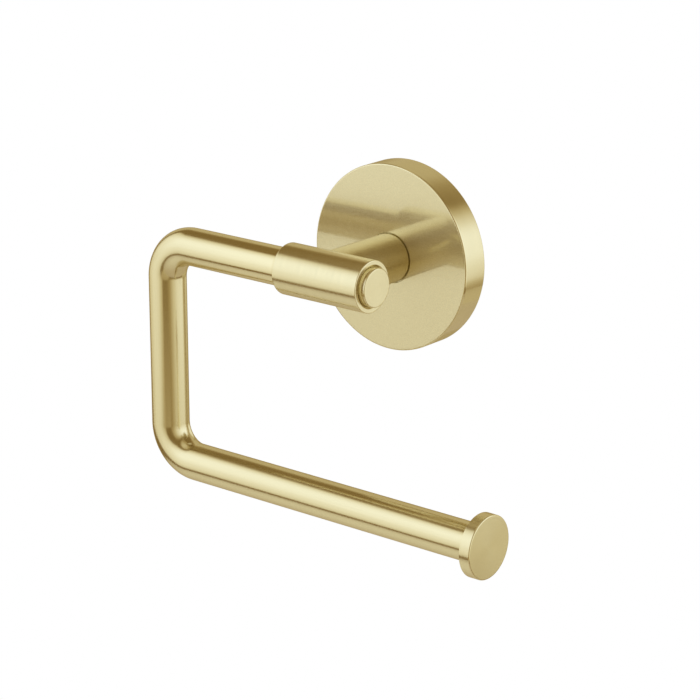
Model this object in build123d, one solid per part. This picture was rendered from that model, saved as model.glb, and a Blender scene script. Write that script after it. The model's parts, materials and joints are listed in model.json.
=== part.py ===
"""A wall-mounted toilet paper holder with a pivoting arm. Millimetres.

The origin is the centre of the rosette's wall face. +X runs along the pivot axis, +Y points into the
wall, and +Z is up. The rosette, post and barrel stay on the wall. A bent bar turns in the barrel: it
leaves the barrel's left end, turns down and comes back under the barrel to its end cap.
"""

from build123d import *
import os

# Rosette: a round cup over the wall bracket
rosette_dia = 58.5
rosette_depth = 9.4
rosette_face = 3.0
rosette_wall = 2.6
rosette_edge = 0.4

# Wall bracket: a ring that the rosette slips over
bracket_rim_gap = 0.25
bracket_face_gap = 0.4
bracket_bore_dia = 23.2
wall_screw_hole_dia = 5.0
wall_screw_head_dia = 9.0
groove_depth = 1.6

# Grub screw that draws the rosette onto the bracket
grub_dia = 4.0
grub_inset = 0.4
grub_socket = 2.0
grub_socket_depth = 1.6

# Arm: one bar, bent twice, with a journal turned on its upper end
bar_dia = 12.0
bend_radius = 11.5
side_reach = 66.35
arm_drop = 71.0
free_end_reach = 56.5
shoulder_height = 1.0
shoulder_depth = 2.0
shoulder_edge = 0.3

# Barrel that the arm turns in
pivot_reach = 38.0
barrel_length = 32.4
barrel_wall = 1.0
barrel_mouth_gap = 1.0
barrel_edge = 0.35
barrel_bore_edge = 0.25

# Bushes and thrust washers in the barrel
bush_length = 8.0
thrust_washer_thick = 0.5
thrust_washer_room = 0.3

# Button on the journal's end, and the disc spring behind it
button_gap = 1.05
button_depth = 2.6
button_proud = 1.9
button_skin = 1.2
button_edge = 0.4
spring_room = 0.5
spring_thick = 0.35
spring_height = 0.75

# Post between the rosette and the barrel
post_step = 0.3
post_edge = 0.25
spigot_dia = 10.0
spigot_shortfall = 0.05
pin_land = 0.35
pin_skin = 0.5

# Post fixing: button head screw, plain washer and split spring washer
post_screw_dia = 5.0
post_screw_length = 14.0
post_screw_head_dia = 9.5
post_screw_head_height = 2.75
post_screw_dome = 1.2
post_screw_socket = 3.0
post_screw_socket_depth = 1.5
washer_bearing = 2.5
washer_thick = 1.2
lock_washer_band = 2.0
lock_washer_thick = 1.2
lock_washer_split = 0.8

# End cap
cap_dia = 19.75
cap_thick = 3.75
cap_skin = 1.0
cap_edge = 0.35

# Studs inside the arm's two ends
stud_dia = 5.0
stud_length_in_bar = 10.0
stud_end_room = 0.3

# Clearances
slip_fit = 0.05
running_fit = 0.05
press_fit = 0.01
washer_fit = 0.08
thread_fit = 0.05
end_play = 0.05
cone_gap = 0.05
screw_washer_fit = 0.15

# Rosette and bracket, worked out
face_inside = -(rosette_depth - rosette_face)
rosette_bore_dia = rosette_dia - 2 * rosette_wall
bracket_dia = rosette_bore_dia - 2 * bracket_rim_gap
bracket_thick = rosette_depth - rosette_face - bracket_face_gap
wall_screw_spacing = (bracket_dia + bracket_bore_dia) / 2
groove_y = -bracket_thick / 2
groove_radius = bracket_dia / 2 - groove_depth

# Arm, barrel and post, worked out from the bar
journal_dia = bar_dia - 2 * shoulder_height
barrel_bore_dia = bar_dia + 2 * barrel_mouth_gap
barrel_dia = barrel_bore_dia + 2 * barrel_wall
button_dia = barrel_bore_dia - 2 * button_gap
thrust_washer_dia = barrel_bore_dia - 2 * thrust_washer_room
spring_dia = barrel_bore_dia - 2 * spring_room
post_dia = barrel_dia - 2 * post_step
pin_dia = (post_dia - spigot_dia) / 2 - 2 * pin_land
pin_offset = (post_dia + spigot_dia) / 4
pin_half = rosette_face - pin_skin

# Places along the pivot axis, from the bar's shoulder to the button
barrel_half = barrel_length / 2
shoulder_x = -barrel_half + shoulder_depth
left_washer_x = shoulder_x + end_play
left_bush_x = left_washer_x + thrust_washer_thick
button_inner_x = barrel_half - button_depth
button_outer_x = barrel_half + button_proud
spring_x = button_inner_x - spring_height
right_washer_x = spring_x - end_play - thrust_washer_thick
right_bush_x = right_washer_x - bush_length

# Studs and the post's fixing, worked out
button_stud_length = button_depth + button_proud - button_skin - stud_end_room
cap_stud_length = cap_thick - cap_skin - stud_end_room
stud_hole_dia = stud_dia + 2 * thread_fit
stud_hole_depth = stud_length_in_bar + stud_end_room
washer_dia = spigot_dia + 2 * washer_bearing
washer_bore_dia = post_screw_dia + 2 * screw_washer_fit
lock_washer_dia = washer_bore_dia + 2 * lock_washer_band
lock_washer_y = face_inside + washer_thick
screw_head_y = lock_washer_y + lock_washer_thick
screw_end_y = screw_head_y - post_screw_length


def bar_x(diameter, start, end, y=-pivot_reach, z=0.0):
    """A round bar along X, on the pivot axis unless told otherwise."""
    return Pos((start + end) / 2, y, z) * Rot(0, 90, 0) * Cylinder(diameter / 2, end - start)


def bar_y(diameter, start, end, x=0.0, z=0.0):
    """A round bar along Y, on the post's axis unless told otherwise."""
    return Pos(x, (start + end) / 2, z) * Rot(90, 0, 0) * Cylinder(diameter / 2, end - start)


def ring_x(outer, inner, start, end):
    """A plain ring round the pivot axis."""
    return bar_x(outer, start, end) - bar_x(inner, start, end)


def ring_y(outer, inner, start, end):
    """A plain ring round the post's axis."""
    return bar_y(outer, start, end) - bar_y(inner, start, end)


def circles_at(solid, axis, place, radius):
    """The solid's round edges of this radius in the plane across the axis at this place."""
    edges = solid.edges().filter_by(GeomType.CIRCLE)
    flat = edges.filter_by_position(axis, place - 0.001, place + 0.001)
    return flat.filter_by(lambda edge: abs(edge.radius - radius) < 0.001)


def hex_socket_y(across_flats, start, end):
    """A hexagonal prism along Y, to cut a key's socket."""
    outline = Plane.XZ.offset(-start) * RegularPolygon(across_flats / 2, 6, major_radius=False)
    return extrude(outline, amount=start - end)


def make_cover_plate():
    """The rosette: a turned cup with a hole for the post's spigot, the pin and the grub screw."""
    body = bar_y(rosette_dia, -rosette_depth, 0)
    body = chamfer(circles_at(body, Axis.Y, -rosette_depth, rosette_dia / 2), rosette_edge)
    body -= bar_y(rosette_bore_dia, face_inside, 0)
    body -= bar_y(spigot_dia + 2 * slip_fit, -rosette_depth, face_inside)
    body -= bar_y(pin_dia, -rosette_depth, -rosette_depth + pin_half, z=pin_offset)
    hole = Cylinder(grub_dia / 2 + thread_fit, 4 * rosette_wall)
    return body - Pos(0, groove_y, -rosette_dia / 2) * hole


def make_wall_bracket():
    """A ring with two countersunk wall screw holes and a V-groove round its rim."""
    body = ring_y(bracket_dia, bracket_bore_dia, -bracket_thick, 0)
    with BuildPart() as groove:
        with BuildSketch(Plane.XY):
            with BuildLine():
                Polyline(
                    (groove_radius, groove_y),
                    (groove_radius + 2 * groove_depth, groove_y - 2 * groove_depth),
                    (groove_radius + 2 * groove_depth, groove_y + 2 * groove_depth),
                    close=True,
                )
            make_face()
        revolve(axis=Axis.Y)
    body -= groove.part
    sink = (wall_screw_head_dia - wall_screw_hole_dia) / 2
    for side in (-1, 1):
        x = side * wall_screw_spacing / 2
        body -= bar_y(wall_screw_hole_dia, -bracket_thick, 0, x=x)
        cone = Cone(wall_screw_hole_dia / 2, wall_screw_head_dia / 2, sink)
        body -= Pos(x, -bracket_thick + sink / 2, 0) * Rot(90, 0, 0) * cone
    return body


def make_plate_grub_screw():
    """A cone-point grub screw, driven from below through the rosette's rim into the groove."""
    tip = -(groove_radius + cone_gap)
    shank_top = tip - grub_dia / 2
    bottom = -rosette_dia / 2 + grub_inset
    shank = Cylinder(grub_dia / 2, shank_top - bottom, align=(Align.CENTER, Align.CENTER, Align.MIN))
    point = Cone(grub_dia / 2, 0, grub_dia / 2, align=(Align.CENTER, Align.CENTER, Align.MIN))
    socket = extrude(RegularPolygon(grub_socket / 2, 6, major_radius=False), amount=grub_socket_depth)
    screw = Pos(0, 0, bottom) * (shank - socket) + Pos(0, 0, shank_top) * point
    return Pos(0, groove_y, 0) * screw


def make_post():
    """The post: coped to the barrel in front, with a spigot, a pin hole and a tapped hole behind."""
    body = bar_y(post_dia, -pivot_reach, -rosette_depth)
    body = chamfer(circles_at(body, Axis.Y, -rosette_depth, post_dia / 2), post_edge)
    body -= bar_x(barrel_dia, -post_dia, post_dia)
    body += bar_y(spigot_dia, -rosette_depth - post_edge, face_inside - spigot_shortfall)
    body -= bar_y(pin_dia, -rosette_depth - pin_half, -rosette_depth, z=pin_offset)
    return body - bar_y(post_screw_dia + 2 * thread_fit, screw_end_y - stud_end_room, 0)


def make_post_screw():
    """A button head screw with a hexagonal socket."""
    top = screw_head_y + post_screw_head_height
    head = bar_y(post_screw_head_dia, screw_head_y, top)
    head = fillet(circles_at(head, Axis.Y, top, post_screw_head_dia / 2), post_screw_dome)
    head -= hex_socket_y(post_screw_socket, top - post_screw_socket_depth, top)
    return head + bar_y(post_screw_dia, screw_end_y, screw_head_y)


def make_post_washer():
    """A plain washer, wide enough to bear on the rosette round the spigot."""
    return ring_y(washer_dia, washer_bore_dia, face_inside, lock_washer_y)


def make_post_lock_washer():
    """A split spring washer."""
    ring = ring_y(lock_washer_dia, washer_bore_dia, lock_washer_y, screw_head_y)
    split = Box(lock_washer_dia, 2 * lock_washer_thick, lock_washer_split)
    return ring - Pos(lock_washer_dia / 2, screw_head_y - lock_washer_thick / 2, 0) * split


def make_antirotation_pin():
    """A pin half in the post and half in the rosette."""
    return bar_y(pin_dia, -rosette_depth - pin_half, -rosette_depth + pin_half, z=pin_offset)


def make_barrel():
    """The barrel that the arm turns in, open at both ends."""
    body = bar_x(barrel_dia, -barrel_half, barrel_half)
    rims = circles_at(body, Axis.X, -barrel_half, barrel_dia / 2)
    rims += circles_at(body, Axis.X, barrel_half, barrel_dia / 2)
    body = chamfer(rims, barrel_edge)
    body -= bar_x(barrel_bore_dia, -barrel_half, barrel_half)
    mouths = circles_at(body, Axis.X, -barrel_half, barrel_bore_dia / 2)
    mouths += circles_at(body, Axis.X, barrel_half, barrel_bore_dia / 2)
    return chamfer(mouths, barrel_bore_edge)


def make_bush(start):
    """A plain bush, pressed into the barrel and running on the arm's journal."""
    outer = barrel_bore_dia - 2 * press_fit
    return ring_x(outer, journal_dia + 2 * running_fit, start, start + bush_length)


def make_thrust_washer(start):
    """A thin washer between a bush and what turns against it."""
    return ring_x(thrust_washer_dia, journal_dia + 2 * washer_fit, start, start + thrust_washer_thick)


def make_arm_rod():
    """The bar: journal, bend, drop, bend and the run that carries the roll."""
    route = FilletPolyline(
        (shoulder_x, -pivot_reach, 0),
        (-side_reach, -pivot_reach, 0),
        (-side_reach, -pivot_reach, -arm_drop),
        (free_end_reach, -pivot_reach, -arm_drop),
        radius=bend_radius,
    )
    section = Plane(origin=(shoulder_x, -pivot_reach, 0), z_dir=(-1, 0, 0)) * Circle(bar_dia / 2)
    body = sweep(section, path=route)
    body = chamfer(circles_at(body, Axis.X, shoulder_x, bar_dia / 2), shoulder_edge)
    body += bar_x(journal_dia, shoulder_x - shoulder_edge, button_inner_x)
    body -= bar_x(stud_hole_dia, button_inner_x - stud_hole_depth, button_inner_x)
    free_hole = bar_x(stud_hole_dia, free_end_reach - stud_hole_depth, free_end_reach, z=-arm_drop)
    return body - free_hole


def make_pivot_button():
    """The round button that holds the arm in the barrel."""
    body = bar_x(button_dia, button_inner_x, button_outer_x)
    body = chamfer(circles_at(body, Axis.X, button_outer_x, button_dia / 2), button_edge)
    hole_end = button_inner_x + button_stud_length + stud_end_room
    return body - bar_x(stud_hole_dia, button_inner_x, hole_end)


def make_pivot_stud():
    """The threaded stud between the journal and the button."""
    return bar_x(stud_dia, button_inner_x - stud_length_in_bar, button_inner_x + button_stud_length)


def make_disc_spring():
    """A disc spring, its inner edge against the button and its outer edge towards the washer."""
    bore_radius = journal_dia / 2 + washer_fit
    with BuildPart() as spring:
        with BuildSketch(Plane.XY):
            with BuildLine():
                Polyline(
                    (spring_x, spring_dia / 2 - pivot_reach),
                    (spring_x + spring_thick, spring_dia / 2 - pivot_reach),
                    (button_inner_x, bore_radius - pivot_reach),
                    (button_inner_x - spring_thick, bore_radius - pivot_reach),
                    close=True,
                )
            make_face()
        revolve(axis=Axis((0, -pivot_reach, 0), (1, 0, 0)))
    return spring.part


def make_end_cap():
    """The flat round cap that keeps the roll on."""
    outer_x = free_end_reach + cap_thick
    body = bar_x(cap_dia, free_end_reach, outer_x, z=-arm_drop)
    rims = circles_at(body, Axis.X, free_end_reach, cap_dia / 2)
    rims += circles_at(body, Axis.X, outer_x, cap_dia / 2)
    body = chamfer(rims, cap_edge)
    hole_end = free_end_reach + cap_stud_length + stud_end_room
    return body - bar_x(stud_hole_dia, free_end_reach, hole_end, z=-arm_drop)


def make_end_cap_stud():
    """The threaded stud between the bar and its end cap."""
    start = free_end_reach - stud_length_in_bar
    return bar_x(stud_dia, start, free_end_reach + cap_stud_length, z=-arm_drop)


parts = {
    "cover_plate": make_cover_plate(),
    "wall_bracket": make_wall_bracket(),
    "plate_grub_screw": make_plate_grub_screw(),
    "post": make_post(),
    "post_screw": make_post_screw(),
    "post_washer": make_post_washer(),
    "post_lock_washer": make_post_lock_washer(),
    "antirotation_pin": make_antirotation_pin(),
    "barrel": make_barrel(),
    "bush_left": make_bush(left_bush_x),
    "bush_right": make_bush(right_bush_x),
    "thrust_washer_left": make_thrust_washer(left_washer_x),
    "thrust_washer_right": make_thrust_washer(right_washer_x),
    "arm_rod": make_arm_rod(),
    "pivot_button": make_pivot_button(),
    "pivot_stud": make_pivot_stud(),
    "disc_spring": make_disc_spring(),
    "end_cap": make_end_cap(),
    "end_cap_stud": make_end_cap_stud(),
}

os.makedirs("parts", exist_ok=True)
for name, shape in parts.items():
    export_step(shape, f"parts/{name}.step")
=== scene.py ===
"""The looks of a wall-mounted toilet paper holder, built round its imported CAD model. Metres.

The frame is the CAD model's: the origin is the centre of the rosette's wall face, +X runs along the pivot
axis, +Y points into the wall and +Z is up. The six pieces that show are meshed here with rounded edges and
stand for their CAD solids. The hidden pieces stay as CAD and only get a finish.
"""

import json
from itertools import accumulate
from math import acos, atan, cos, pi, radians, sin, sqrt, tan

import bmesh
import bpy
from mathutils import Matrix, Vector


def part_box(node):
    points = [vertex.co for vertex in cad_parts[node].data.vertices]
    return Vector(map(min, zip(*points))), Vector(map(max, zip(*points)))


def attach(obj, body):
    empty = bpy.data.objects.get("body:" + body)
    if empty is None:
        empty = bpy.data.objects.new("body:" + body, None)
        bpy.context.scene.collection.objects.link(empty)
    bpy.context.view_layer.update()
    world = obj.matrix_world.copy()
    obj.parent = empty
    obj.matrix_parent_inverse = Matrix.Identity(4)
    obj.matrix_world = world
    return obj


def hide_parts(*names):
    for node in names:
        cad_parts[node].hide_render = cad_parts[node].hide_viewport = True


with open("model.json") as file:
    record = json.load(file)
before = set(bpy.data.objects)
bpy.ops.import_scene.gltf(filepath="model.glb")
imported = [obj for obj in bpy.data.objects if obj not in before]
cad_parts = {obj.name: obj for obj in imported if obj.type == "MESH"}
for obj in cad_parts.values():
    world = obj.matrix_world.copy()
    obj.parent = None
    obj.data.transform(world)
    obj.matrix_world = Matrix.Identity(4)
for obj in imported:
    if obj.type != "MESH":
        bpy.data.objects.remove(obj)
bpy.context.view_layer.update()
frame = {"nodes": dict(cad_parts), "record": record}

MM = 0.001

# Sizes that the boxes of the CAD nodes don't show
BEND_RADIUS = 11.5 * MM
JOURNAL_RADIUS = 5.0 * MM
BARREL_WALL = 1.0 * MM
ROSETTE_WALL = 2.6 * MM
ROSETTE_FACE = 3.0 * MM
SPIGOT_RADIUS = 5.0 * MM
SPIGOT_LENGTH = 2.95 * MM
GRUB_HOLE_RADIUS = 2.05 * MM
GRUB_HOLE_Y = -3.0 * MM
END_PLAY = 0.05 * MM

# Seam round the post's foot: its gap and depth, and the chamfer on the post
SEAM_GAP = 0.20 * MM
SEAM_DEPTH = 1.0 * MM
SEAM_EDGE = 0.20 * MM

# Right mouth of the barrel: a countersink that ends in a ring close round the button
MOUTH_RADIUS = 6.70 * MM
SINK_DEPTH = 0.45 * MM
RING_WIDTH = 1.2 * MM
BUTTON_PLAY = 0.06 * MM

# Rounding of the turned edges
ROSETTE_EDGE = 0.45 * MM
BARREL_LEFT_EDGE = 0.60 * MM
BARREL_RIGHT_EDGE = 0.25 * MM
PLAIN_EDGE = 0.35 * MM
FINE_EDGE = 0.18 * MM
LIP_EDGE = 0.05 * MM
BUTTON_EDGE = 0.30 * MM

# How finely the meshes are cut
RING_POINTS = 192
BAR_POINTS = 128
BEND_STEPS = 40
ROUNDING_STEPS = 6
STAGE_POINTS = 96
ROOM_RINGS = 72
CARD_STEP = 4

# A flat strip beside each rounding, the post's depth in the barrel's skin, and the drill's overrun
GUARD = 0.12 * MM
COPE_SINK = 0.1 * MM
DRILL_OVERRUN = 1.0 * MM

# The least angle of a sharp edge, what counts as facing the front, and what counts as no length
SHARP_ANGLE = radians(35)
FRONT_FACING = 0.99
TINY = 1e-7

X_AXIS = Vector((1, 0, 0))
Y_AXIS = Vector((0, 1, 0))
Z_AXIS = Vector((0, 0, 1))

# Camera: it turns to its target, and then slides aside to frame the object
CAMERA_AZIMUTH = radians(39.30)
CAMERA_ELEVATION = radians(17.51)
CAMERA_DISTANCE = 0.7638
CAMERA_LENS = 127.8
CAMERA_TARGET = Vector((0.0, -0.0190, -0.0355))
CAMERA_SLIDE_RIGHT = 0.00597
CAMERA_SLIDE_UP = -0.00786
CAMERA_CLIP = 0.05

# Studio sizes
FLOOR_DROP = 0.69
FLOOR_RADIUS = 6.0
TABLE_RADIUS = 0.96
WHITE_RADIUS = TABLE_RADIUS * 1.07
CARD_DISTANCE = 1.15
BACKDROP_DISTANCE = CARD_DISTANCE * 1.01
APRON_DISTANCE = CARD_DISTANCE * 1.02
ROOM_RADIUS = CARD_DISTANCE * 1.03

# Studio light: its brightest colour, how fast each channel fades, the room, and the painted pool of light
# on the floor
LIGHT_PEAK = (1.205, 1.27, 1.289)
LIGHT_FADE = (0.77, 1.0, 1.58)
LIGHT_STEPS = 12
ROOM_LEVEL = 0.12
NEAR_GLOW = 0.5
POOL_AZIMUTH = radians(-50)
POOL_DISTANCE = 0.54
POOL_FADE = (0.15, 0.68)

# Colours, linear
GOLD = (0.77, 0.695, 0.462)
EDGE_TINT = (0.96, 0.94, 0.87, 1.0)
STEEL = (0.56, 0.57, 0.58)
ZINC = (0.50, 0.51, 0.53)
ACETAL = (0.80, 0.78, 0.72)
# The floor's two colours are painted light: pale in a painted pool of light, and dimmer elsewhere as
# painted shade
PAINTED_POOL_FLOOR = (0.92, 0.90, 0.78)
PAINTED_DIM_FLOOR = (0.70, 0.62, 0.47)

# Brushing, (fine, coarse), each as lines per metre along the piece and per radian round it
RINGS = ((9000, 1), (1700, 1))
RUNS = ((60, 110), (25, 32))
COARSE_SHARE = 0.85

# Noise: the spans in which it goes from one end of its effect to the other
WIDE_SPAN = (0.3, 0.7)
CLOUD_SPAN = (0.36, 0.64)
SPECK_SPAN = (0.45, 0.55)

# Noise: cells per metre
SPECK_SCALE = 12000.0
MOTTLE_SCALE = 500.0
CLOUD_SCALE = 160.0
PATCH_SCALE = 60.0

# Brass: its lacquer, how much streaks and patches change its roughness, and how its edges are worn
LACQUER_INDEX = 2.2
STREAK_CHANGE = 0.10
PATCH_CHANGE = 0.06
WORN_SHARE = 0.7
WORN_SHADE = 1.06
WORN_ROUGHNESS = 0.8

# Hidden metals and acetal, how far they vary
CLOUD_SHARE = 0.65
METAL_SHADES = (0.84, 1.07)
METAL_ROUGHNESS = (0.8, 1.2)
ACETAL_SHADES = (0.94, 1.03)
ACETAL_ROUGHNESS = (0.32, 0.42)
ACETAL_INDEX = 1.48
ACETAL_SCATTER = 0.08


def half_size(node, axis):
    """Half of a CAD node's size along one axis."""
    low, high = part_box(node)
    return (high[axis] - low[axis]) / 2


def middle(node, axis):
    """The middle of a CAD node's box along one axis."""
    low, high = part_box(node)
    return (high[axis] + low[axis]) / 2


# Sizes read from the frame
rosette_radius = half_size("cover_plate", 0)
rosette_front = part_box("cover_plate")[0].y
post_radius = half_size("post", 0)
barrel_radius = half_size("barrel", 2)
barrel_left, barrel_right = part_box("barrel")[0].x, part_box("barrel")[1].x
pivot_y = middle("barrel", 1)
bar_radius = half_size("arm_rod", 1)
side_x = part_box("arm_rod")[0].x + bar_radius
lower_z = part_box("arm_rod")[0].z + bar_radius
free_end_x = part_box("arm_rod")[1].x
shoulder_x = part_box("thrust_washer_left")[0].x - END_PLAY
button_radius = half_size("pivot_button", 1)
button_inner, button_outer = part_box("pivot_button")[0].x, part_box("pivot_button")[1].x
cap_radius = half_size("end_cap", 1)
cap_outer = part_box("end_cap")[1].x


# ---------------------------------------------------------------- meshes


def rounded(corners):
    """A profile with its corners rounded, as (along, radius, edge) points.

    A corner is (along, radius, rounding). edge is 1 on a rounding and 0 on a straight stretch.
    """
    points = [(*Vector(corners[0][:2]), 0.0)]
    for before, corner, after in zip(corners, corners[1:], corners[2:]):
        points += round_corner(before, corner, after)
    return points + [(*Vector(corners[-1][:2]), 0.0)]


def round_corner(before, corner, after):
    """The points of one corner: its arc between two flat strips, or the bare corner if it stays sharp."""
    here, rounding = Vector(corner[:2]), corner[2]
    if rounding == 0:
        return [(*here, 0.0)]
    back = (Vector(before[:2]) - here).normalized()
    on = (Vector(after[:2]) - here).normalized()
    half = acos(max(-1.0, min(1.0, back.dot(on)))) / 2
    reach = rounding / tan(half)
    centre = here + (back + on).normalized() * rounding / sin(half)
    start, end = here + back * reach - centre, here + on * reach - centre
    turn = start.angle_signed(end)
    shares = [step / ROUNDING_STEPS for step in range(ROUNDING_STEPS + 1)]
    return [
        (*(centre + start + back * GUARD), 0.0),
        *((*(centre + Matrix.Rotation(-turn * share, 2) @ start), 1.0) for share in shares),
        (*(centre + end + on * GUARD), 0.0),
    ]


def travelled(spots):
    """How far each spot lies along the path through them all."""
    steps = ((there - here).length for here, there in zip(spots, spots[1:]))
    return accumulate(steps, initial=0.0)


def band(bm, lay, ring_a, ring_b):
    """Faces between two neighbouring rings, each (travel, verts)."""
    count = max(len(ring_a[1]), len(ring_b[1]))
    for k in range(count):
        spots = [(ring_a, k), (ring_a, k + 1), (ring_b, k + 1), (ring_b, k)]
        if len(ring_a[1]) == 1:
            del spots[1]
        if len(ring_b[1]) == 1:
            del spots[-1]
        face = bm.faces.new([verts[n % len(verts)] for (_, verts), n in spots])
        face.smooth = True
        for loop, ((travel, verts), n) in zip(face.loops, spots):
            loop[lay].uv = (travel, n / count)


def skin(name, rings, closed=False):
    """A surface through rings, each (travel, edge, points). A ring of one point is a pole.

    The UV map named lay holds the distance travelled and the share of a turn. The attribute edge is 1 on
    the rounded edges. closed joins the last ring to the first.
    """
    bm = bmesh.new()
    lay = bm.loops.layers.uv.new("lay")
    edge_layer = bm.verts.layers.float.new("edge")
    made = []
    for travel, edge, points in rings:
        verts = [bm.verts.new(point) for point in points]
        for vert in verts:
            vert[edge_layer] = edge
        made.append((travel, verts))
    if closed:
        last_step = (made[0][1][0].co - made[-1][1][0].co).length
        made.append((made[-1][0] + last_step, made[0][1]))
    for ring_a, ring_b in zip(made, made[1:]):
        band(bm, lay, ring_a, ring_b)
    bmesh.ops.recalc_face_normals(bm, faces=bm.faces)
    mark_sharp(bm)
    return add_object(name, bm)


def mark_sharp(bm):
    """Smooth shading everywhere but at sharp edges."""
    for edge in bm.edges:
        edge.smooth = edge.calc_face_angle(0.0) < SHARP_ANGLE


def add_object(name, bm):
    """Turns a bmesh into an object of the scene."""
    mesh = bpy.data.meshes.new(name)
    bm.to_mesh(mesh)
    bm.free()
    made = bpy.data.objects.new(name, mesh)
    bpy.context.scene.collection.objects.link(made)
    return made


def circle(centre, across, upward, radius, count):
    """Points round a circle, or its centre alone if the radius is nothing."""
    if radius < TINY:
        return [centre]
    turns = (2 * pi * k / count for k in range(count))
    return [centre + (across * cos(t) + upward * sin(t)) * radius for t in turns]


def lathe(name, corners, along, origin, closed=False):
    """A turned piece: its profile spun about the axis through origin."""
    across = X_AXIS if not along.x else Y_AXIS
    upward = Z_AXIS if not along.z else Y_AXIS
    profile = rounded(corners)
    travels = travelled([Vector((place, radius)) for place, radius, _ in profile])
    rings = [
        (travel, edge, circle(origin + along * place, across, upward, radius, RING_POINTS))
        for travel, (place, radius, edge) in zip(travels, profile)
    ]
    return skin(name, rings, closed)


def drill(piece, start, depth, radius):
    """Cuts a round hole into a piece, straight up from start, and merges the points that it doubles."""
    corners = [(0, 0, 0), (0, radius, 0), (depth, radius, 0), (depth, 0, 0)]
    cutter = lathe("drill", corners, Z_AXIS, start)
    cut = piece.modifiers.new("hole", "BOOLEAN")
    cut.object, cut.operation, cut.solver = cutter, "DIFFERENCE", "EXACT"
    depsgraph = bpy.context.evaluated_depsgraph_get()
    drilled = bpy.data.meshes.new_from_object(piece.evaluated_get(depsgraph))
    piece.modifiers.clear()
    piece.data = drilled
    bpy.data.objects.remove(cutter)
    bm = bmesh.new()
    bm.from_mesh(drilled)
    bmesh.ops.remove_doubles(bm, verts=bm.verts, dist=TINY)
    mark_sharp(bm)
    bm.to_mesh(drilled)
    bm.free()


def make_rosette():
    """The rosette: a shallow cup open towards the wall, with a seat for the post in its face."""
    inside = rosette_front + ROSETTE_FACE
    wall = rosette_radius - ROSETTE_WALL
    seat = post_radius + SEAM_GAP
    corners = [
        (rosette_front + SEAM_DEPTH, seat, 0),
        (rosette_front, seat, FINE_EDGE),
        (rosette_front, rosette_radius, ROSETTE_EDGE),
        (0, rosette_radius, FINE_EDGE),
        (0, wall, FINE_EDGE),
        (inside, wall, PLAIN_EDGE),
        (inside, SPIGOT_RADIUS, 0),
        (rosette_front + SEAM_DEPTH, SPIGOT_RADIUS, 0),
    ]
    rosette = lathe("rosette", corners, Y_AXIS, Vector((0, 0, 0)), closed=True)
    start = Vector((0, GRUB_HOLE_Y, -rosette_radius - DRILL_OVERRUN))
    drill(rosette, start, ROSETTE_WALL + 2 * DRILL_OVERRUN, GRUB_HOLE_RADIUS)
    return rosette


def make_post():
    """The post, with its spigot behind and its front end coped onto the barrel."""
    corners = [
        (rosette_front + SPIGOT_LENGTH, 0, 0),
        (rosette_front + SPIGOT_LENGTH, SPIGOT_RADIUS, FINE_EDGE),
        (rosette_front + SEAM_DEPTH, SPIGOT_RADIUS, 0),
        (rosette_front + SEAM_DEPTH, post_radius - SEAM_EDGE, 0),
        (rosette_front, post_radius - SEAM_EDGE, 0),
        (rosette_front - SEAM_EDGE, post_radius, SEAM_EDGE / 2),
        (pivot_y + barrel_radius, post_radius, 0),
        (pivot_y, post_radius, 0),
        (pivot_y, post_radius / 2, 0),
        (pivot_y, 0, 0),
    ]
    post = lathe("post_turned", corners, Y_AXIS, Vector((0, 0, 0)))
    for vert in post.data.vertices:
        saddle = pivot_y + sqrt(barrel_radius ** 2 - vert.co.z ** 2) - COPE_SINK
        vert.co.y = max(vert.co.y, saddle)
    return post


def make_barrel():
    """The barrel, a tube with rounded ends. Its right mouth is countersunk down to the button."""
    bore, ring = barrel_radius - BARREL_WALL, button_radius + BUTTON_PLAY
    corners = [
        (0, bore, 0),
        (barrel_left, bore, FINE_EDGE),
        (barrel_left, barrel_radius, BARREL_LEFT_EDGE),
        (barrel_right, barrel_radius, BARREL_RIGHT_EDGE),
        (barrel_right, MOUTH_RADIUS, LIP_EDGE),
        (barrel_right - SINK_DEPTH, ring, LIP_EDGE),
        (barrel_right - RING_WIDTH, ring, 0),
        (barrel_right - RING_WIDTH, bore, 0),
    ]
    return lathe("barrel_turned", corners, X_AXIS, Vector((0, pivot_y, 0)), closed=True)


def make_button():
    """The flat button that closes the journal."""
    corners = [
        (button_inner, 0, 0),
        (button_inner, button_radius, FINE_EDGE),
        (button_outer, button_radius, BUTTON_EDGE),
        (button_outer, 0, 0),
    ]
    return lathe("button_turned", corners, X_AXIS, Vector((0, pivot_y, 0)))


def make_cap():
    """The flat cap at the bar's free end."""
    corners = [
        (free_end_x, 0, 0),
        (free_end_x, cap_radius, FINE_EDGE),
        (cap_outer, cap_radius, PLAIN_EDGE),
        (cap_outer, 0, 0),
    ]
    return lathe("cap_turned", corners, X_AXIS, Vector((0, pivot_y, lower_z)))


def bar_route():
    """The bar's centreline from the shoulder to the free end, as (point, direction)."""
    route = [(Vector((shoulder_x, pivot_y, 0)), -X_AXIS)]
    for centre_z, first in ((-BEND_RADIUS, pi / 2), (lower_z + BEND_RADIUS, pi)):
        for step in range(BEND_STEPS + 1):
            angle = first + step / BEND_STEPS * pi / 2
            spoke = Vector((cos(angle), 0, sin(angle)))
            centre = Vector((side_x + BEND_RADIUS, pivot_y, centre_z))
            route.append((centre + spoke * BEND_RADIUS, Vector((-sin(angle), 0, cos(angle)))))
    route.append((Vector((free_end_x, pivot_y, lower_z)), X_AXIS))
    return route


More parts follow.
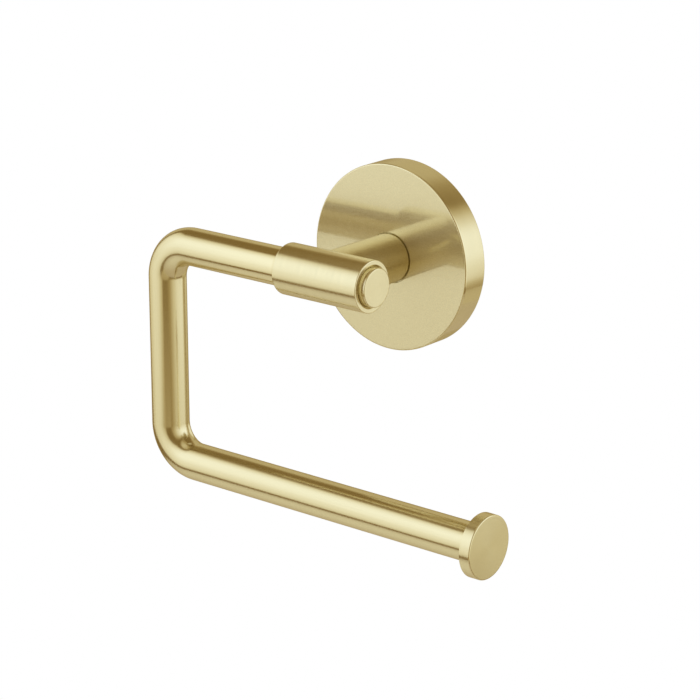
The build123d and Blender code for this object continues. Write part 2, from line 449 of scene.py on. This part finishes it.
def make_bar():
    """The bent bar with its turned journal."""
    route = bar_route()
    start, shoulder = Vector((button_inner, pivot_y, 0)), route[0][0]
    step_in = -X_AXIS * FINE_EDGE
    stations = [
        (start, -X_AXIS, 0, 0.0),
        (start, -X_AXIS, JOURNAL_RADIUS, 0.0),
        (shoulder, -X_AXIS, JOURNAL_RADIUS, 0.0),
        (shoulder, -X_AXIS, bar_radius - FINE_EDGE, 1.0),
        (shoulder + step_in, -X_AXIS, bar_radius, 1.0),
    ]
    stations += [(point, ahead, bar_radius, 0.0) for point, ahead in route[1:]]
    stations.append((route[-1][0], X_AXIS, 0, 0.0))
    travels = travelled([point for point, *_ in stations])
    rings = [
        (travel, edge, circle(point, Y_AXIS, ahead.cross(Y_AXIS), radius, BAR_POINTS))
        for travel, (point, ahead, radius, edge) in zip(travels, stations)
    ]
    return skin("bar_bent", rings)


# ---------------------------------------------------------------- materials


class Graph:
    """A short way to write a node tree: node adds a node, and the other calls return an output."""

    def __init__(self, tree):
        self.tree = tree
        tree.nodes.clear()

    def node(self, kind, inputs=(), **settings):
        made = self.tree.nodes.new("ShaderNode" + kind)
        for key, value in settings.items():
            setattr(made, key, value)
        for key, value in dict(inputs).items():
            if isinstance(value, bpy.types.NodeSocket):
                self.tree.links.new(value, made.inputs[key])
            else:
                made.inputs[key].default_value = value
        return made

    def math(self, operation, *values):
        return self.node("Math", dict(enumerate(values)), operation=operation).outputs[0]

    def mix(self, share, dark, light):
        made = self.node("Mix", {0: share, 6: dark, 7: light}, data_type="RGBA")
        return made.outputs[2]

    def weighted(self, share, rest, value):
        """A sum of two values, in which the second has the given share."""
        parts = self.math("MULTIPLY", rest, 1 - share), self.math("MULTIPLY", value, share)
        return self.math("ADD", *parts)

    def ranged(self, value, low, high, to_low, to_high):
        """A value carried over from one span to another, and held at the ends."""
        inputs = {"Value": value, "From Min": low, "From Max": high, "To Min": to_low, "To Max": to_high}
        return self.node("MapRange", inputs).outputs[0]

    def noise(self, vector, scale, detail=2.0, roughness=0.5):
        inputs = {"Vector": vector, "Scale": scale, "Detail": detail, "Roughness": roughness}
        return self.node("TexNoise", inputs).outputs[0]

    def output(self, kind, shader):
        self.node("Output" + kind, {"Surface": shader})


def new_material(name):
    material = bpy.data.materials.new(name)
    material.use_nodes = True
    return material, Graph(material.node_tree)


def shaded(colour, share):
    """A colour made darker or lighter, with its alpha."""
    return (*(min(1.0, part * share) for part in colour), 1.0)


def lay_vector(graph, along, around):
    """Where a point lies in the brushing: along the piece and around it, each to its own scale."""
    split = graph.node("SeparateXYZ", {0: graph.node("UVMap", uv_map="lay").outputs[0]})
    turn = graph.math("MULTIPLY", split.outputs[1], 2 * pi)
    spots = [graph.math(wave, turn) for wave in ("COSINE", "SINE")]
    parts = {0: graph.math("MULTIPLY", split.outputs[0], along)}
    parts |= {k + 1: graph.math("MULTIPLY", spot, around) for k, spot in enumerate(spots)}
    return graph.node("CombineXYZ", parts).outputs[0]


def brass_colour(graph, lines, worn, tinting):
    """Gold, darker or lighter by the brushing lines and a little lighter on worn edges."""
    tint = graph.ranged(lines, *WIDE_SPAN, 0.0, 1.0)
    colour = graph.mix(tint, shaded(GOLD, 1 - tinting), shaded(GOLD, 1 + tinting))
    return graph.mix(graph.math("MULTIPLY", worn, WORN_SHARE), colour, shaded(GOLD, WORN_SHADE))


def brass_roughness(graph, lines, worn, roughness, haze):
    """A roughness with streaks, soft patches, glossier worn edges and a haze of fine dull specks."""
    place = graph.node("TexCoord").outputs["Object"]
    cloud = graph.noise(place, PATCH_SCALE, detail=3.0)
    streak = graph.ranged(lines, *WIDE_SPAN, -STREAK_CHANGE, STREAK_CHANGE)
    patch = graph.ranged(cloud, *WIDE_SPAN, -PATCH_CHANGE, PATCH_CHANGE)
    change = graph.math("ADD", graph.math("ADD", streak, patch), 1.0)
    rough = graph.math("MULTIPLY", change, roughness)
    rough = graph.math("MULTIPLY", rough, graph.ranged(worn, 0.0, 1.0, 1.0, WORN_ROUGHNESS))
    specks = graph.noise(place, SPECK_SCALE, detail=1.0)
    return graph.math("ADD", rough, graph.ranged(specks, *SPECK_SPAN, 0.0, haze))


def satin_brass(name, lay, roughness, anisotropy, line_depth, metallic, tinting, haze=0.0):
    """Satin pale brass under clear lacquer, brushed in fine and coarse lines. lay is RINGS or RUNS."""
    material, graph = new_material(name)
    fine = graph.noise(lay_vector(graph, *lay[0]), 1.0, detail=3.0, roughness=0.6)
    coarse = graph.noise(lay_vector(graph, *lay[1]), 1.0)
    worn = graph.node("Attribute", attribute_name="edge").outputs["Fac"]
    height = graph.weighted(COARSE_SHARE, fine, coarse)
    bump = graph.node("Bump", {"Strength": 1.0, "Distance": line_depth, "Height": height})
    tangent = graph.node("Tangent", direction_type="UV_MAP", uv_map="lay")
    shader = graph.node("BsdfPrincipled", {
        "Base Color": brass_colour(graph, coarse, worn, tinting),
        "Roughness": brass_roughness(graph, fine, worn, roughness, haze),
        "Metallic": metallic,
        "Anisotropic": anisotropy,
        "Specular Tint": EDGE_TINT,
        "IOR": LACQUER_INDEX,
        "Normal": bump.outputs[0],
        "Tangent": tangent.outputs[0],
    })
    graph.output("Material", shader.outputs[0])
    return material


def plain_metal(name, base, roughness, grain, depth):
    """A cast or rolled metal: a clouded shade, and a fine grain in its shade, gloss and surface."""
    material, graph = new_material(name)
    place = graph.node("TexCoord").outputs["Object"]
    speckle = graph.noise(place, grain, detail=4.0, roughness=0.6)
    clouds = graph.noise(place, CLOUD_SCALE, detail=4.0, roughness=0.6)
    shade = graph.ranged(graph.weighted(CLOUD_SHARE, speckle, clouds), *CLOUD_SPAN, 0.0, 1.0)
    dark, light = (shaded(base, share) for share in METAL_SHADES)
    smooth, rough = (roughness * share for share in METAL_ROUGHNESS)
    bump = graph.node("Bump", {"Strength": 1.0, "Distance": depth, "Height": speckle})
    shader = graph.node("BsdfPrincipled", {
        "Base Color": graph.mix(shade, dark, light),
        "Roughness": graph.ranged(speckle, *WIDE_SPAN, smooth, rough),
        "Metallic": 1.0,
        "Normal": bump.outputs[0],
    })
    graph.output("Material", shader.outputs[0])
    return material


def moulded_plastic(name, base):
    """Natural acetal: slightly translucent-looking, with a faint mottle."""
    material, graph = new_material(name)
    place = graph.node("TexCoord").outputs["Object"]
    mottle = graph.noise(place, MOTTLE_SCALE, detail=3.0)
    dark, light = (shaded(base, share) for share in ACETAL_SHADES)
    shader = graph.node("BsdfPrincipled", {
        "Base Color": graph.mix(mottle, dark, light),
        "Roughness": graph.ranged(mottle, *WIDE_SPAN, *ACETAL_ROUGHNESS),
        "IOR": ACETAL_INDEX,
        "Subsurface Weight": ACETAL_SCATTER,
    })
    graph.output("Material", shader.outputs[0])
    return material


# ---------------------------------------------------------------- dressing


def dress(piece, material, body, slot, *nodes):
    """Gives a piece its material and body, and hides the CAD nodes that it stands for."""
    piece.data.materials.append(material)
    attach(piece, body)
    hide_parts(*nodes)


def round_the_rim(rosette, material):
    """A second material for all of the rosette but its flat face."""
    rosette.data.materials.append(material)
    for polygon in rosette.data.polygons:
        polygon.material_index = 0 if polygon.normal.y < -FRONT_FACING else 1


def build_pieces():
    """The six pieces that show. Turned pieces are brushed round, and the drawn bar along its length."""
    faced = satin_brass("brass_faced", RINGS, roughness=0.055, anisotropy=0.0, line_depth=0.10e-6,
                        metallic=0.70, tinting=0.006, haze=0.25)
    rim = satin_brass("brass_rim", RINGS, roughness=0.13, anisotropy=0.3, line_depth=3e-6,
                      metallic=0.92, tinting=0.02)
    turned = satin_brass("brass_turned", RINGS, roughness=0.20, anisotropy=0.4, line_depth=5e-6,
                         metallic=0.95, tinting=0.02)
    ground = satin_brass("brass_ground", RINGS, roughness=0.205, anisotropy=0.4, line_depth=5e-6,
                         metallic=0.95, tinting=0.02)
    drawn = satin_brass("brass_drawn", RUNS, roughness=0.175, anisotropy=0.0, line_depth=3e-6,
                        metallic=0.95, tinting=0.02)
    rosette = make_rosette()
    dress(rosette, faced, "wall_mount", "rosette_brass", "cover_plate")
    round_the_rim(rosette, rim)
    dress(make_post(), turned, "wall_mount", "post_brass", "post")
    dress(make_barrel(), ground, "wall_mount", "barrel_brass", "barrel")
    dress(make_button(), turned, "arm", "button_brass", "pivot_button")
    dress(make_cap(), turned, "arm", "cap_brass", "end_cap")
    dress(make_bar(), drawn, "arm", "bar_brass", "arm_rod")


def finish_hidden_nodes():
    """Puts a material on each CAD node that stays, by its slot in the record."""
    by_slot = {
        "fixing_steel": plain_metal("steel_plain", STEEL, roughness=0.25, grain=900.0, depth=2e-6),
        "bracket_zinc": plain_metal("zinc_cast", ZINC, roughness=0.42, grain=1400.0, depth=12e-6),
        "bush_acetal": moulded_plastic("acetal_natural", ACETAL),
    }
    for part in frame["record"]["subparts"]:
        if part["material_slot"] in by_slot:
            for slot in frame["nodes"][part["node"]].material_slots:
                slot.material = by_slot[part["material_slot"]]


# ---------------------------------------------------------------- studio


def compass(azimuth, elevation=0.0):
    """A direction: azimuth 0 is -Y, the front, and 90 degrees is +X."""
    level = cos(elevation)
    return Vector((sin(azimuth) * level, -cos(azimuth) * level, sin(elevation)))


def light_colour(level):
    """The light of a studio surface, for a level from 0 to 1: near white if bright, and warm if dim."""
    return tuple(peak * level ** fade for peak, fade in zip(LIGHT_PEAK, LIGHT_FADE))


def ramp(graph, value, stops):
    """A smooth ramp of colours. stops is a list of (place from 0 to 1, colour)."""
    made = graph.node("ValToRGB", {0: value})
    made.color_ramp.interpolation = "EASE"
    elements = made.color_ramp.elements
    while len(elements) < len(stops):
        elements.new(0.5)
    for element, (place, colour) in zip(elements, stops):
        element.position = place
        element.color = (*colour, 1.0)
    return made.outputs[0]


def level_ramp(graph, value, levels):
    """A smooth ramp of levels. levels maps degrees to a level, from the card's one edge to the other."""
    first, last = min(levels), max(levels)
    stops = [((angle - first) / (last - first), (level,) * 3) for angle, level in sorted(levels.items())]
    return ramp(graph, value, stops)


def glow(name, along, up):
    """An emitting card, brighter or dimmer along its width and up its height."""
    material, graph = new_material(name)
    split = graph.node("SeparateXYZ", {0: graph.node("UVMap", uv_map="card").outputs[0]})
    wide, high = level_ramp(graph, split.outputs[0], along), level_ramp(graph, split.outputs[1], up)
    strength = max(LIGHT_PEAK)
    levels = [step / LIGHT_STEPS for step in range(LIGHT_STEPS + 1)]
    stops = [(level, tuple(part / strength for part in light_colour(level))) for level in levels]
    tint = ramp(graph, graph.math("MULTIPLY", wide, high), stops)
    graph.output("Material", graph.node("Emission", {"Color": tint, "Strength": strength}).outputs[0])
    return material


def card(name, along, up, bow=0.0, distance=CARD_DISTANCE):
    """A light card all at one distance from the object.

    along maps azimuths and up maps elevations, in degrees, to levels of light. A bow of 1 gives the
    outline of a flat card, whose top and bottom come nearer to the horizon at its sides.
    """
    left, right, low, high = min(along), max(along), min(up), max(up)
    across, rise = round((right - left) / CARD_STEP), round((high - low) / CARD_STEP)
    bm = bmesh.new()
    layer = bm.loops.layers.uv.new("card")
    grid = {}
    for i in range(across + 1):
        turn = left + (right - left) * i / across
        flatten = cos(radians(turn - (left + right) / 2) * bow)
        for j in range(rise + 1):
            tilt = atan(tan(radians(low + (high - low) * j / rise)) * flatten)
            grid[i, j] = bm.verts.new(compass(radians(turn), tilt) * distance)
    for i in range(across):
        for j in range(rise):
            corners = [(i, j), (i + 1, j), (i + 1, j + 1), (i, j + 1)]
            face = bm.faces.new([grid[corner] for corner in corners])
            for loop, (a, b) in zip(face.loops, corners):
                loop[layer].uv = (a / across, b / rise)
    add_stage(name, bm, glow(name, along, up))


def add_stage(name, bm, material):
    """Turns a bmesh into part of the studio, which the camera doesn't see."""
    made = add_object(name, bm)
    made.data.materials.append(material)
    made.visible_camera = False
    return made


def make_room():
    """The dim room behind the cards: a sphere open below, where it meets the floor."""
    material, graph = new_material("room")
    walls = graph.node("Emission", {"Color": (*light_colour(ROOM_LEVEL), 1.0)})
    graph.output("Material", walls.outputs[0])
    bm = bmesh.new()
    bmesh.ops.create_uvsphere(bm, u_segments=STAGE_POINTS, v_segments=ROOM_RINGS, radius=ROOM_RADIUS)
    below = [vert for vert in bm.verts if vert.co.z < -FLOOR_DROP]
    bmesh.ops.delete(bm, geom=below, context="VERTS")
    add_stage("room", bm, material)


def make_softboxes():
    """The two large lights: one in front and to the left, one to the right that reaches round behind."""
    card("softbox_left",
         along={-98: 0.70, -75: 0.88, -50: 1.0, -30: 1.0, -15: 0.93, 0: 0.70, 8: 0.52},
         up={-27: 0.65, -8: 0.815, 8: 0.955, 24: 1.0, 34: 0.97, 42: 0.84, 50: 0.55},
         bow=1.0)
    card("softbox_right",
         along={40: 0.27, 50: 0.33, 60: 0.50, 75: 0.70, 90: 0.86, 105: 0.97, 120: 1.0,
                139: 1.0, 142: 0.96, 146: 0.68, 151: 0.46, 157: 0.24},
         up={-28: 0.46, -25: 0.57, -20: 0.80, -14: 0.81, 0: 0.96, 14: 1.0, 26: 0.96, 36: 0.7, 48: 0.4},
         bow=0.2)


def make_dim_cards():
    """The wall's side of the room with a fill card before it, the floor's far edges and the ceiling."""
    card("backdrop",
         along={148: 1.0, 254: 1.0},
         up={-22: 0.25, 0: 0.28, 14: 0.39, 38: 0.40, 46: 0.21, 53: 0.13},
         bow=1.3, distance=BACKDROP_DISTANCE)
    card("fill_back",
         along={162: 0.35, 173: 1.0, 190: 1.0, 202: 0.35},
         up={-23: 0.30, -11: 0.78, 7: 0.82, 22: 0.36})
    card("apron_back",
         along={147: 1.0, 191: 1.0, 200: 0.72, 256: 0.72},
         up={-37: 0.41, -8: 0.36},
         distance=APRON_DISTANCE)
    card("apron_front",
         along={-6: 1.0, 46: 1.0},
         up={-37: 0.37, -19: 0.30},
         distance=APRON_DISTANCE)
    card("ceiling",
         along={-150: 0.50, -80: 0.42, 0: 0.50, 80: 0.30},
         up={56: 0.6, 66: 1.0, 86: 1.0})


def seen_directly(graph):
    """1 for the rays that show a surface as it is: the camera's, mirrored ones and ones through glass."""
    path = graph.node("LightPath")
    seen = graph.math("MAXIMUM", path.outputs["Is Camera Ray"], path.outputs["Is Glossy Ray"])
    return graph.math("MAXIMUM", seen, path.outputs["Is Transmission Ray"])


def floor_material():
    """A painted pool of light and ground painted dimmer round it, which take the object's shadow, and
    plain white further off.
    """
    material, graph = new_material("floor")
    place = graph.node("TexCoord").outputs["Object"]
    away = graph.node("VectorMath", {0: place}, operation="LENGTH").outputs["Value"]
    far = graph.ranged(away, TABLE_RADIUS, WHITE_RADIUS, 0.0, 1.0)
    # Painted light: the floor is painted pale in a pool round this spot, fading to painted shade away from
    # it
    pool = {0: place, 1: compass(POOL_AZIMUTH) * POOL_DISTANCE}
    from_pool = graph.node("VectorMath", pool, operation="DISTANCE").outputs["Value"]
    lit = graph.ranged(from_pool, *POOL_FADE, 1.0, 0.0)
    near = graph.mix(lit, (*PAINTED_DIM_FLOOR, 1.0), (*PAINTED_POOL_FLOOR, 1.0))
    shade = graph.mix(far, near, (1.0, 1.0, 1.0, 1.0))
    matte = graph.node("BsdfDiffuse", {"Color": shade}).outputs[0]
    plain = graph.node("Emission", {"Color": shade}).outputs[0]
    share = graph.math("MULTIPLY", seen_directly(graph), graph.ranged(far, 0.0, 1.0, NEAR_GLOW, 1.0))
    mixed = graph.node("MixShader", {0: share, 1: matte, 2: plain})
    graph.output("Material", mixed.outputs[0])
    return material


def make_floor():
    """A wide round floor, the one part of the studio that the camera sees."""
    bm = bmesh.new()
    bmesh.ops.create_circle(bm, cap_ends=True, segments=STAGE_POINTS, radius=FLOOR_RADIUS)
    floor = add_stage("floor", bm, floor_material())
    floor.visible_camera = True
    floor.location = (0, 0, -FLOOR_DROP)


def make_world():
    """A plain white surround."""
    world = bpy.data.worlds.new("surround")
    world.use_nodes = True
    graph = Graph(world.node_tree)
    graph.output("World", graph.node("Background", {"Color": (1, 1, 1, 1), "Strength": 1.0}).outputs[0])
    bpy.context.scene.world = world


def make_camera():
    """The camera, a long lens up and to the right of the object."""
    data = bpy.data.cameras.new("camera")
    data.lens = CAMERA_LENS
    data.clip_start = CAMERA_CLIP
    camera = bpy.data.objects.new("camera", data)
    bpy.context.scene.collection.objects.link(camera)
    back = compass(CAMERA_AZIMUTH, CAMERA_ELEVATION)
    right = compass(CAMERA_AZIMUTH + pi / 2)
    up = back.cross(right)
    aim = CAMERA_TARGET - right * CAMERA_SLIDE_RIGHT - up * CAMERA_SLIDE_UP
    camera.location = aim + back * CAMERA_DISTANCE
    camera.rotation_mode = "QUATERNION"
    camera.rotation_quaternion = (-back).to_track_quat("-Z", "Y")
    bpy.context.scene.camera = camera


build_pieces()
finish_hidden_nodes()
make_room()
make_softboxes()
make_dim_cards()
make_floor()
make_world()
make_camera()
bpy.context.scene.view_settings.view_transform = "Standard"
